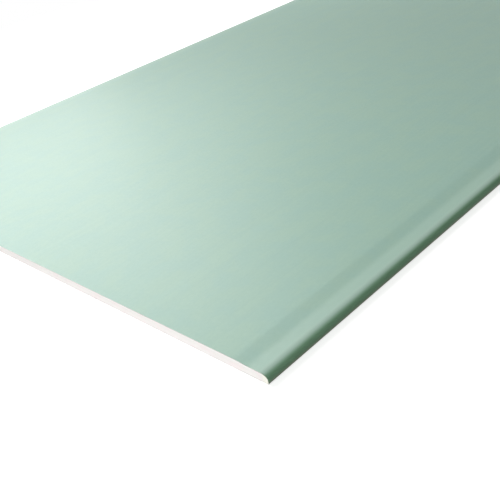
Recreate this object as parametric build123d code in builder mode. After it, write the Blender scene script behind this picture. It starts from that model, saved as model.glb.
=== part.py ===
"""Drywall sheet: a paper-faced gypsum board with two half-round tapered long edges.

The sheet lies flat, face up. X runs across its width, Y along its length, Z up.
The origin is the centre of its underside. All sizes are in millimetres.
"""

import os

from build123d import *

# The sheet
sheet_width = 1250.0
sheet_length = 2000.0
sheet_thickness = 12.5

# The two liners
face_paper_thickness = 0.35
back_paper_thickness = 0.3
flap_reach = 38.0  # from the long edge to the end of the face paper's fold on the back
back_paper_inset = 12.0  # from the long edge to the edge of the back paper

# The long edges, each distance measured in from the edge
taper_start = 46.5
taper_foot = 25.5
taper_depth = 1.2
rounding_reach = 12.0  # from the edge to where the rounding meets the recessed band
widest_height = 5.4  # above the underside, where the rounding is widest
tuck_reach = 1.0  # how far the edge draws in below its widest point

half_width = sheet_width / 2
flap_end = half_width - flap_reach


def skirt_outline(depth):
    """Draws the right half of the sheet's skin, this far under its surface.

    It runs from the middle of the face, down the taper and round the edge, to the end of the flap.
    """
    face_level = sheet_thickness - depth
    band_level = face_level - taper_depth
    flap_level = back_paper_thickness + depth
    face_run = Polyline(
        (0, face_level),
        (half_width - taper_start, face_level),
        (half_width - taper_foot, band_level),
        (half_width - rounding_reach, band_level),
    )
    rounding = EllipticalCenterArc(
        center=(half_width - rounding_reach, widest_height),
        x_radius=rounding_reach - depth,
        y_radius=band_level - widest_height,
        start_angle=0,
        arc_size=90,
    )
    tuck = EllipticalCenterArc(
        center=(half_width - tuck_reach, widest_height),
        x_radius=tuck_reach - depth,
        y_radius=widest_height - flap_level,
        start_angle=-90,
        arc_size=90,
    )
    flap_run = Line((half_width - tuck_reach, flap_level), (flap_end, flap_level))
    return face_run, rounding, tuck, flap_run


# The set gypsum between the liners. Its back steps in by one thickness of paper
# along both long edges, where the face paper's flaps are bedded.
with BuildPart() as gypsum_core:
    with BuildSketch(Plane.XZ):
        with BuildLine():
            skirt_outline(face_paper_thickness)
            Polyline(
                (flap_end, back_paper_thickness + face_paper_thickness),
                (flap_end, back_paper_thickness),
                (0, back_paper_thickness),
            )
            mirror(about=Plane.YZ)
        make_face()
    extrude(amount=sheet_length / 2, both=True)
gypsum_core.part.label = "gypsum_core"

# The green liner: one strip that covers the face, wraps both long edges
# and is folded on to the back.
with BuildPart() as face_paper:
    with BuildSketch(Plane.XZ):
        with BuildLine():
            skirt_outline(0)
            Line((flap_end, back_paper_thickness), (flap_end, back_paper_thickness + face_paper_thickness))
            skirt_outline(face_paper_thickness)
            mirror(about=Plane.YZ)
        make_face()
    extrude(amount=sheet_length / 2, both=True)
face_paper.part.label = "face_paper"

# The back liner, laid over both flaps and glued to them. The sheet rests on it.
with BuildPart() as back_paper:
    with BuildSketch():
        Rectangle(sheet_width - 2 * back_paper_inset, sheet_length)
    extrude(amount=back_paper_thickness)
back_paper.part.label = "back_paper"

os.makedirs("parts", exist_ok=True)
export_step(gypsum_core.part, "parts/gypsum_core.step")
export_step(face_paper.part, "parts/face_paper.step")
export_step(back_paper.part, "parts/back_paper.step")
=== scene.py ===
import math

import bmesh
import bpy
from mathutils import Matrix, Vector, noise


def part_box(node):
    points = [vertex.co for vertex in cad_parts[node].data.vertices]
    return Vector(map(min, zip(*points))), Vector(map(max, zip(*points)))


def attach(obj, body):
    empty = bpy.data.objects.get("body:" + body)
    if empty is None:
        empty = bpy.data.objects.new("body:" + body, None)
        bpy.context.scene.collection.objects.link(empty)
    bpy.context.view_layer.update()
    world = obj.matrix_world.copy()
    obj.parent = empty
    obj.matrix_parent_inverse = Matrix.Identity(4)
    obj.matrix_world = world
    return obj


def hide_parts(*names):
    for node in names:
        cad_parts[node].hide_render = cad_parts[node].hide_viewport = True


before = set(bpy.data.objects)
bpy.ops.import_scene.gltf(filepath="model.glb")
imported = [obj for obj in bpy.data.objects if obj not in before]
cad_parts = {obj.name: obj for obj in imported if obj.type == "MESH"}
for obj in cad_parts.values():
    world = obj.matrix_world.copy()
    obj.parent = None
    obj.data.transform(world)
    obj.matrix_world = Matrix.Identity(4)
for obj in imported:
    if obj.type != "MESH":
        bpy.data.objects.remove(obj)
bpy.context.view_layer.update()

# The gypsum core: one slab of set, foamed gypsum, cast between the two liners and sawn
# square at both ends. Only the sawn ends are bare: chalk white with a faint warm cast,
# scored by the saw and pricked by air bubbles, fewer of them close under the paper.
core_low, core_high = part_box("gypsum_core")
face_low, face_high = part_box("face_paper")
half_width, half_length, face_level = face_high
flap_level = face_low.z
face_paper_thickness = half_width - core_high.x

taper_start = 0.0465
taper_foot = 0.0255
taper_depth = 0.0012
rounding_reach = 0.012
rounding_fullness = 0.87
widest_height = 0.0054
tuck_reach = 0.001
flap_reach = 0.038
soft_bend = 0.003

rounding_steps = 28
tuck_steps = 14
sawn_columns = 600
nose_columns = 40
sawn_rows = 12


def run_on(bm, vertex, across, up):
    """Draws the outline straight on from a vertex and returns its new end."""
    new = bmesh.ops.extrude_vert_indiv(bm, verts=[vertex])["verts"][0]
    bmesh.ops.translate(bm, vec=(across, 0, up), verts=[new])
    return new


def turn_on(bm, vertex, centre, steps, stretch, fullness=1.0):
    """Draws a quarter of an ellipse on from a vertex round a centre and returns its new end.

    A fullness under 1 pushes the middle of the turn outward and flattens both its ends.
    """
    known = set(bm.verts)
    bmesh.ops.spin(bm, geom=[vertex], cent=centre, axis=(0, 1, 0), angle=math.pi / 2, steps=steps)
    arc = [v for v in bm.verts if v not in known]
    radius = max(abs(v.co.x - centre[0]) for v in arc)
    for v in arc:
        across = (v.co.x - centre[0]) / radius
        up = (v.co.z - centre[2]) / radius
        v.co.x = centre[0] + math.copysign(abs(across) ** fullness, across) * radius
        v.co.z = centre[2] + math.copysign(abs(up) ** fullness, up) * radius
    bmesh.ops.scale(bm, vec=stretch, space=Matrix.Translation(-Vector(centre)), verts=arc)
    return min(arc, key=lambda v: v.co.z)


def draw_skin(bm, depth):
    """Draws the right half of the sheet's outline at the near end, this far under its skin.

    It runs from the middle of the face, down the taper and round the edge, to the end of the flap.
    """
    level = face_level - depth
    rise = level - taper_depth - widest_height
    drop = widest_height - flap_level - depth
    crown = bm.verts.new((0, -half_length, level))
    shoulder = run_on(bm, crown, half_width - taper_start, 0)
    foot = run_on(bm, shoulder, taper_start - taper_foot, -taper_depth)
    brink = run_on(bm, foot, taper_foot - rounding_reach, 0)
    bend_centre = (half_width - rounding_reach, -half_length, widest_height)
    rounding_stretch = ((rounding_reach - depth) / rise, 1, 1)
    widest = turn_on(bm, brink, bend_centre, rounding_steps, rounding_stretch, rounding_fullness)
    tuck_centre = (half_width - tuck_reach, -half_length, widest_height)
    crease = turn_on(bm, widest, tuck_centre, tuck_steps, (1, 1, drop / (tuck_reach - depth)))
    flap_end = run_on(bm, crease, tuck_reach - flap_reach, 0)
    bmesh.ops.bevel(bm, geom=[shoulder, foot], offset=soft_bend, offset_type="OFFSET",
                    affect="VERTICES", segments=5, profile=0.5, material=-1)
    return crown, flap_end


def slice_at(bm, place, direction):
    """Cuts new edges into the mesh where a plane crosses it."""
    bmesh.ops.bisect_plane(bm, geom=bm.verts[:] + bm.edges[:] + bm.faces[:], dist=1e-7,
                           plane_co=place, plane_no=direction)


def sawn_depth(x, z, seed):
    """How far the saw and its crumbs have bitten into an end at one place, in metres."""
    tear = noise.noise(Vector((x * 160, seed, z * 260)))
    grain = noise.noise(Vector((x * 900, seed + 7, z * 900)))
    score = noise.noise(Vector((x * 420 + z * 130, seed + 19, 0)))
    return 0.00022 + 0.00009 * tear + 0.00007 * grain + 0.00005 * score


def finished(name, bm, body="root"):
    """Turns a bmesh into a smooth-shaded object that rides on a body and returns it."""
    bmesh.ops.recalc_face_normals(bm, faces=bm.faces)
    for polygon in bm.faces:
        polygon.smooth = True
    mesh = bpy.data.meshes.new(name)
    bm.to_mesh(mesh)
    bm.free()
    mesh.set_sharp_from_angle(angle=math.radians(40))
    piece = bpy.data.objects.new(name, mesh)
    bpy.context.scene.collection.objects.link(piece)
    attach(piece, body)
    return piece


bm = bmesh.new()
crown, flap_end = draw_skin(bm, face_paper_thickness)
flap_step = run_on(bm, flap_end, 0, -face_paper_thickness)
middle = run_on(bm, flap_step, -flap_step.co.x, 0)
bmesh.ops.contextual_create(bm, geom=[middle, crown])
bmesh.ops.contextual_create(bm, geom=bm.edges[:])
nose_start = half_width - rounding_reach
for column in range(1, sawn_columns):
    slice_at(bm, (nose_start * column / sawn_columns, 0, 0), (1, 0, 0))
for column in range(nose_columns):
    turn = math.pi / 2 * column / nose_columns
    slice_at(bm, (nose_start + (rounding_reach - face_paper_thickness) * math.sin(turn), 0, 0), (1, 0, 0))
for row in range(1, sawn_rows):
    slice_at(bm, (0, 0, core_low.z + (core_high.z - core_low.z) * row / sawn_rows), (0, 0, 1))
bmesh.ops.mirror(bm, geom=bm.verts[:] + bm.edges[:] + bm.faces[:], axis="X", merge_dist=1e-6)
grown = bmesh.ops.extrude_face_region(bm, geom=bm.faces[:], use_keep_orig=True)
far_end = {part for part in grown["geom"] if isinstance(part, bmesh.types.BMVert)}
bmesh.ops.translate(bm, vec=(0, 2 * half_length, 0), verts=list(far_end))
for vertex in bm.verts:
    seed = 31 if vertex in far_end else 0
    inward = -1 if vertex in far_end else 1
    vertex.co.y += inward * sawn_depth(vertex.co.x, vertex.co.z, seed)
core = finished("sawn_gypsum_core", bm)
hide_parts("gypsum_core")


class Signal:
    """One socket of a finish. Sums on signals add the Math nodes that work them out."""

    def __init__(self, tree, socket):
        self.tree = tree
        self.socket = socket

    def node(self, kind, settings, inputs, output=0):
        """Adds a node, sets it up, fills its inputs and returns one of its outputs."""
        made = self.tree.nodes.new(kind)
        for name, value in settings.items():
            setattr(made, name, value)
        for name, value in inputs.items():
            if isinstance(value, Signal):
                self.tree.links.new(value.socket, made.inputs[name])
            else:
                made.inputs[name].default_value = value
        return Signal(self.tree, made.outputs[output]) if made.outputs else None

    def maths(self, operation, *values):
        return self.node("ShaderNodeMath", {"operation": operation}, dict(enumerate(values)))

    def __add__(self, other):
        return self.maths("ADD", self, other)

    def __sub__(self, other):
        return self.maths("SUBTRACT", self, other)

    def __rsub__(self, other):
        return self.maths("SUBTRACT", other, self)

    def __mul__(self, other):
        return self.maths("MULTIPLY", self, other)

    def __abs__(self):
        return self.maths("ABSOLUTE", self)

    __radd__ = __add__
    __rmul__ = __mul__

    def along(self, axis):
        """This place's distance along one axis: 0 across the sheet, 1 along it, 2 up."""
        return self.node("ShaderNodeSeparateXYZ", {}, {"Vector": self}, axis)

    def stretched(self, scale):
        """This place with each axis multiplied, so that a pattern on it is finer or longer."""
        return self.node("ShaderNodeMapping", {}, {"Vector": self, "Scale": scale})

    def noise(self, scale, detail=2.0, roughness=0.5):
        return self.node("ShaderNodeTexNoise", {},
                         {"Vector": self, "Scale": scale, "Detail": detail, "Roughness": roughness})

    def cells(self, scale):
        """The distance to the nearest of many points strewn through the piece."""
        return self.node("ShaderNodeTexVoronoi", {"feature": "F1"}, {"Vector": self, "Scale": scale})

    def between(self, low, high, start=0.0, end=1.0):
        """This signal mapped smoothly from low..high on to start..end."""
        return self.node("ShaderNodeMapRange", {"interpolation_type": "SMOOTHSTEP"},
                         {"Value": self, 1: low, 2: high, 3: start, 4: end})

    def blend(self, first, second):
        """The colour between first and second that this signal picks."""
        return self.node("ShaderNodeMix", {"data_type": "RGBA"}, {0: self, 6: first, 7: second}, 2)


def finish_of(name):
    """A new material with nothing in it, and the place on the piece to start its patterns from."""
    material = bpy.data.materials.new(name)
    material.use_nodes = True
    material.node_tree.nodes.clear()
    coordinates = material.node_tree.nodes.new("ShaderNodeTexCoord")
    return material, Signal(material.node_tree, coordinates.outputs["Object"])


def surface(colour, roughness, gloss, height, relief):
    """Ends a finish in one shader, with height as its relief in metres."""
    bump = height.node("ShaderNodeBump", {}, {"Height": height, "Distance": relief, "Strength": 1.0})
    shader = height.node("ShaderNodeBsdfPrincipled", {}, {
        "Base Color": colour, "Roughness": roughness, "Specular IOR Level": gloss, "Normal": bump})
    height.node("ShaderNodeOutputMaterial", {}, {"Surface": shader})


gypsum, place = finish_of("gypsum")
under_paper = place.along(2).between(0.0006, 0.003) * place.along(2).between(0.0095, 0.0119, 1.0, 0.0)
bubbles = place.cells(900).between(0.16, 0.3, 1.0, 0.0)
holes = bubbles * place.noise(700).between(0.5, 0.62) * (under_paper * 0.7 + 0.3)
grain = place.noise(1500, 4, 0.7)
pink = place.stretched((1, 1, 2.2)).noise(48, 2).between(0.42, 0.62)
chalk = pink.blend((0.835, 0.8, 0.808, 1), (0.848, 0.775, 0.793, 1))
near_edge = abs(place.along(0)).between(half_width - 0.011, half_width - 0.004)
creamy = (near_edge * 0.8).blend(chalk, (0.87, 0.86, 0.77, 1))
dusted = (grain * 0.2).blend(creamy, (0.76, 0.73, 0.71, 1))
# The air bubbles are coloured darker: painted shade inside them, on top of their dip in the relief.
gypsum_colour = (holes * 0.45).blend(dusted, (0.5, 0.47, 0.45, 1))
surface(gypsum_colour, 0.9, 0.3, grain * 0.35 - holes, 0.00025)
core.data.materials.append(gypsum)

# The face paper: one strip of pale green, smoothly calendered liner. It is drawn down the
# taper and round the half-round long edges while the board is made, creased at the back
# corner and folded flat on to the back. The saw has frayed it a little at both ends.
paper_columns_per_metre = 1400
rows_from_end = (0.0005, 0.0015, 0.005, 0.02)


def frayed_depth(x, z, seed):
    """How far the saw has worn a liner's end back at one place, in metres."""
    ragged = noise.noise(Vector((x * 640, seed, z * 640)))
    wear_and_painted_highlight = noise.noise(Vector((x * 75, seed + 3, z * 75)))
    return max(0.00011 + 0.0001 * ragged + 0.00008 * wear_and_painted_highlight, 0.00001)


def fray_ends(bm):
    """Cuts rows close to both ends of a liner and wears its two rims back unevenly."""
    for distance in rows_from_end:
        for end in (-1, 1):
            slice_at(bm, (0, end * (half_length - distance), 0), (0, 1, 0))
    for vertex in bm.verts:
        if abs(vertex.co.y) > half_length - 1e-6:
            end = math.copysign(1, vertex.co.y)
            vertex.co.y -= end * frayed_depth(vertex.co.x, vertex.co.z, 11 * end)


bm = bmesh.new()
draw_skin(bm, 0)
for edge in bm.edges[:]:
    cuts = int(edge.calc_length() * paper_columns_per_metre)
    if cuts > 0:
        bmesh.ops.subdivide_edges(bm, edges=[edge], cuts=cuts)
bmesh.ops.mirror(bm, geom=bm.verts[:] + bm.edges[:], axis="X", merge_dist=1e-6)
grown = bmesh.ops.extrude_edge_only(bm, edges=bm.edges[:])
moved = [part for part in grown["geom"] if isinstance(part, bmesh.types.BMVert)]
bmesh.ops.translate(bm, vec=(0, 2 * half_length, 0), verts=moved)
bmesh.ops.recalc_face_normals(bm, faces=bm.faces)
if max(bm.faces, key=lambda f: f.calc_center_median().z).normal.z < 0:
    bmesh.ops.reverse_faces(bm, faces=bm.faces)
bmesh.ops.solidify(bm, geom=bm.faces[:], thickness=face_paper_thickness)
fray_ends(bm)
face = finished("green_face_paper", bm)
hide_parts("face_paper")

green, place = finish_of("green_face_paper")
from_middle = abs(place.along(0))
from_centre = abs(place.along(1))
height = place.along(2)
clouds = place.noise(30, 2)
formation = place.stretched((1, 0.6, 1)).noise(320, 4, 0.6)
streaks = place.stretched((1, 0.012, 1)).noise(150, 3)
fibres = place.stretched((1, 0.14, 1)).noise(2600, 3, 0.6)
liner = clouds.between(0.3, 0.7).blend((0.3, 0.456, 0.397, 1), (0.317, 0.466, 0.387, 1))
tone = formation * 0.45 + streaks * 0.35 + fibres * 0.2
pulped = (tone.between(0.36, 0.64, 0.0, 0.23)).blend(liner, (0.26, 0.39, 0.345, 1))
dark_flecks = place.cells(70).between(0.02, 0.035, 1.0, 0.0)
pale_flecks = place.stretched((1, 0.3, 1)).cells(120).between(0.02, 0.04, 1.0, 0.0)
flecked = (dark_flecks * 0.4).blend(pulped, (0.12, 0.19, 0.15, 1))
specked = (pale_flecks * 0.35).blend(flecked, (0.46, 0.62, 0.54, 1))
# Painted highlight: the recessed band and the lower half of the taper are painted paler, where the lamp's
# sheen runs along the band.
painted_sheen_band = from_middle.between(half_width - 0.033, half_width - 0.021)
sheen_painted = (painted_sheen_band * 0.6).blend(specked, (0.36, 0.5, 0.43, 1))
# Painted highlight: the strip just before the turn is painted paler still, so that the edge stays lit
# longer before it falls into shade.
brink = from_middle.between(half_width - 0.014, half_width - 0.008)
brink_painted_highlight = (brink * 0.5).blend(sheen_painted, (0.41, 0.54, 0.475, 1))
# Painted shade: the outer part of the rounding, on both long edges, is painted a darker, deeper green.
turn_in_shade = from_middle.between(half_width - 0.0065, half_width - 0.001)
shade_painted = (turn_in_shade * 0.9).blend(brink_painted_highlight, (0.235, 0.43, 0.28, 1))
edge = from_middle.between(half_width - 0.006, half_width - 0.0035)
# Painted highlight: a pale line low on the long edges, where light from the floor catches the paper.
pale_line_painted = edge * height.between(0.0012, 0.0022) * height.between(0.003, 0.0042, 1.0, 0.0)
wear_and_painted_highlight = (pale_line_painted * 0.6).blend(shade_painted, (0.5, 0.54, 0.45, 1))
# Painted shade: the lowest part of the long edges, down at the crease next to the floor, is painted dark
# brown.
crease = edge * height.between(0.0006, 0.0022, 1.0, 0.0)
contact_shade_painted = (crease * 0.75).blend(wear_and_painted_highlight, (0.11, 0.1, 0.07, 1))
rim = from_centre.between(half_length - 0.0006, half_length - 0.0002)
rim_colour = height.between(0.001, 0.004).blend((0.74, 0.69, 0.68, 1), (0.42, 0.39, 0.36, 1))
green_colour = (rim * 0.6).blend(contact_shade_painted, rim_colour)
surface(green_colour, formation.between(0.3, 0.7, 0.41, 0.49), 0.144,
        formation * 0.5 + fibres * 0.5, 0.00002)
face.data.materials.append(green)

# The back paper: the plain recycled liner of the back, laid over both flaps and glued to them.
# The sheet rests on it.
back_low, back_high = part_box("back_paper")
back_columns = 620
back_rows = 40

bm = bmesh.new()
bmesh.ops.create_grid(bm, x_segments=back_columns, y_segments=back_rows, size=1)
bmesh.ops.scale(bm, vec=(back_high.x, back_high.y, 1), verts=bm.verts)
bmesh.ops.translate(bm, vec=(0, 0, back_high.z), verts=bm.verts)
bmesh.ops.solidify(bm, geom=bm.faces[:], thickness=back_high.z - back_low.z)
fray_ends(bm)
back = finished("grey_back_paper", bm)
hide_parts("back_paper")

grey, place = finish_of("grey_back_paper")
shreds = place.noise(300, 4, 0.7)
scraps = place.stretched((1, 0.35, 1)).cells(90).between(0.03, 0.06, 1.0, 0.0)
recycled = shreds.between(0.3, 0.7).blend((0.3, 0.28, 0.24, 1), (0.4, 0.38, 0.33, 1))
scrappy = (scraps * 0.4).blend(recycled, (0.16, 0.14, 0.12, 1))
rim = abs(place.along(1)).between(half_length - 0.0012, half_length - 0.0004)
surface((rim * 0.85).blend(scrappy, (0.8, 0.74, 0.73, 1)), 0.85, 0.3, shreds, 0.00005)
back.data.materials.append(grey)

# The floor: plain white to the eye and in reflections, a duller cream where it throws light
# back on the sheet. The sheet's own shadow is left on it, and only white farther out.
floor_radius = 14
floor_gap = 0.0002  # under the sheet, so that the two don't fight for the same plane
white_from, white_to = 1.4, 2.6

bm = bmesh.new()
bmesh.ops.create_circle(bm, cap_ends=True, segments=64, radius=floor_radius)
bmesh.ops.translate(bm, vec=(0, 0, -floor_gap), verts=bm.verts)
floor_mesh = bpy.data.meshes.new("floor")
bm.to_mesh(floor_mesh)
bm.free()
floor = bpy.data.objects.new("floor", floor_mesh)
bpy.context.scene.collection.objects.link(floor)

white, place = finish_of("floor")
seen, glossy, through = [place.node("ShaderNodeLightPath", {}, {}, name)
                         for name in ("Is Camera Ray", "Is Glossy Ray", "Is Transmission Ray")]
looked_at = place.maths("MAXIMUM", place.maths("MAXIMUM", seen, glossy), through)
shadowed = place.node("ShaderNodeBsdfDiffuse", {}, {"Color": (0.5, 0.5, 0.5, 1)})
glow = place.node("ShaderNodeEmission", {}, {"Color": (1, 1, 1, 1), "Strength": 0.75})
bright = place.node("ShaderNodeAddShader", {}, {0: shadowed, 1: glow})
plain = place.node("ShaderNodeEmission", {}, {"Color": (1, 1, 1, 1), "Strength": 1.0})
from_origin = place.node("ShaderNodeVectorMath", {"operation": "LENGTH"}, {0: place}, 1)
farther_out = from_origin.between(white_from, white_to)
around = place.node("ShaderNodeMixShader", {}, {0: farther_out, 1: bright, 2: plain})
dull = place.node("ShaderNodeBsdfDiffuse", {}, {"Color": (0.38, 0.38, 0.35, 1)})
shown = place.node("ShaderNodeMixShader", {}, {0: looked_at, 1: dull, 2: around})
place.node("ShaderNodeOutputMaterial", {}, {"Surface": shown})
floor.data.materials.append(white)

# The light: one wide soft window high on the left, two narrower ones on the left that brighten
# the near end, one close in front of each sawn end that doesn't mirror in the face, and a
# faint even glow from all round.
ambient = (0.095, 0.12, 0.09, 1)

world = bpy.data.worlds.new("studio")
world.use_nodes = True
bpy.context.scene.world = world
world.node_tree.nodes.clear()
ray = world.node_tree.nodes.new("ShaderNodeLightPath")
air = Signal(world.node_tree, ray.outputs["Is Camera Ray"])
glossy_or_through = air.maths("MAXIMUM", Signal(world.node_tree, ray.outputs["Is Glossy Ray"]),
                              Signal(world.node_tree, ray.outputs["Is Transmission Ray"]))
shown_white = air.maths("MAXIMUM", air, glossy_or_through)
sky_colour = shown_white.blend(ambient, (1, 1, 1, 1))
sky = air.node("ShaderNodeBackground", {}, {"Color": sky_colour, "Strength": 1.0})
air.node("ShaderNodeOutputWorld", {}, {"Surface": sky})


def window(name, target, azimuth, elevation, distance, width, beam, power, mirrored=True):
    """Hangs a soft square lamp that looks at a place on the floor from a bearing, angles in degrees.

    Its distance and width are in metres, its power in watts. Where it isn't mirrored, it lights
    the sheet without showing in the paper's gloss.
    """
    turn, rise = math.radians(azimuth), math.radians(elevation)
    bearing = Vector((-math.sin(turn) * math.cos(rise), math.cos(turn) * math.cos(rise), math.sin(rise)))
    lamp = bpy.data.lights.new(name, "AREA")
    lamp.shape = "SQUARE"
    lamp.size = width
    lamp.spread = math.radians(beam)
    lamp.energy = power
    holder = bpy.data.objects.new(name, lamp)
    bpy.context.scene.collection.objects.link(holder)
    holder.location = Vector(target) + bearing * distance
    holder.rotation_euler = (-bearing).to_track_quat("-Z", "Y").to_euler()
    holder.visible_camera = False
    holder.visible_glossy = mirrored


window("high_left_window", (-0.1, 0.9, 0), 90, 48, 3.5, 1.6, 180, 92)
window("near_left_window", (0.1, -1.05, 0), 92, 37, 2.5, 1.2, 45, 4.1)
window("low_left_window", (-0.1, -0.85, 0), 71, 28, 2.5, 1.25, 45, 1.9)
window("front_window", (0.4, -0.95, 0), 187, 15, 1.5, 1.2, 180, 26.5, mirrored=False)
window("back_window", (-0.2, 0.95, 0), 7, 15, 1.5, 1.2, 180, 14, mirrored=False)

# The camera stands over the near corner, to the right of the sawn end. It looks back along
# the sheet, downward, and is rolled a little.
near_corner = Vector((half_width, -half_length, 0))
from_corner = Vector((0.4031, -0.2905, 0.4137))
heading = math.radians(52.52)
downward = math.radians(28.49)
roll = math.radians(-14.7)

camera_data = bpy.data.cameras.new("camera")
camera_data.sensor_width = 36
camera_data.lens = 48.9
camera = bpy.data.objects.new("camera", camera_data)
bpy.context.scene.collection.objects.link(camera)
camera.matrix_world = (Matrix.Translation(near_corner + from_corner)
                       @ Matrix.Rotation(heading, 4, "Z")
                       @ Matrix.Rotation(math.pi / 2 - downward, 4, "X")
                       @ Matrix.Rotation(roll, 4, "Z"))
bpy.context.scene.camera = camera
bpy.context.scene.view_settings.view_transform = "Standard"
